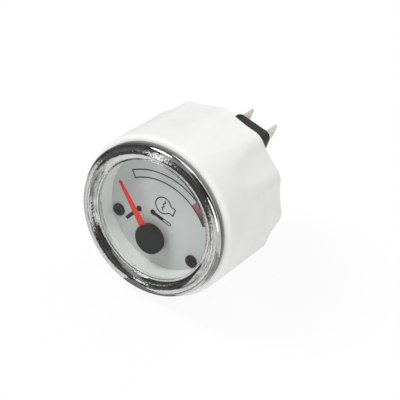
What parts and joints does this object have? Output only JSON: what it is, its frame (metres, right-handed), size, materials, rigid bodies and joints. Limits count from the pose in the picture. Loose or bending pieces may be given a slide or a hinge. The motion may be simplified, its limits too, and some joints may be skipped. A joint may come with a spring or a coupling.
{
  "type": "water temperature gauge",
  "caption": "Round panel gauge with a chrome bezel, white dial, red pointer on an air-core movement, threaded case, fluted clamp nut and blade terminals.",
  "frame": {"origin": "on the case axis at the panel plane, where the back of the gasket meets the panel", "axes": "+Y along the case axis to the rear; the dial faces -Y; +Z is twelve o'clock"},
  "size_m": [0.0638, 0.0696, 0.0638],
  "materials": {
    "chrome": "polished",
    "gasket_rubber": "matt",
    "glass": "clear",
    "seal_rubber": "matt",
    "light_ring_white": "satin",
    "dial_white": "matt printed",
    "black_screw": "satin",
    "brass": "turned",
    "pointer_red": "satin",
    "cap_black": "matt",
    "steel": "ground",
    "magnet_grey": "matt",
    "bobbin_plastic": "moulded",
    "copper_winding": "enamelled wire",
    "tinned": "tinned",
    "board_green": "satin",
    "resistor_body": "matt",
    "lamp_clear": "clear",
    "case_black": "moulded",
    "nut_white": "moulded",
    "block_black": "moulded",
    "tinned_brass": "tinned"
  },
  "bodies": {
    "gauge_body": {"bezel": "chrome", "panel_gasket": "gasket_rubber", "lens": "glass", "lens_seal": "seal_rubber", "shade_ring": "light_ring_white", "dial_plate": "dial_white", "dial_screws": "black_screw", "dial_posts": "brass", "bobbin_front": "bobbin_plastic", "bobbin_rear": "bobbin_plastic", "coil_inner": "copper_winding", "coil_outer": "copper_winding", "coil_pins": "tinned", "shield_can": "steel", "circuit_board": "board_green", "board_screws": "steel", "series_resistor": "resistor_body", "dial_lamps": "lamp_clear", "barrel_case": "case_black", "terminal_block": "block_black", "supply_tab": "tinned_brass", "sender_tab": "tinned_brass", "earth_tab": "tinned_brass"},
    "pointer_shaft": {"pointer": "pointer_red", "pointer_cap": "cap_black", "spindle": "steel", "stop_arm": "brass", "magnet_rotor": "magnet_grey"},
    "nut_body": {"clamp_nut": "nut_white"}
  },
  "joints": [
    {"name": "pointer_turn", "type": "hinge", "parent": "gauge_body", "child": "pointer_shaft", "pos_m": [0, 0.01, -0.01175], "axis": [0, 1, 0], "range_deg": [0, 107]},
    {"name": "nut_travel", "type": "slide", "parent": "gauge_body", "child": "nut_body", "axis": [0, 1, 0], "range_m": [0, 0.03]}
  ]
}
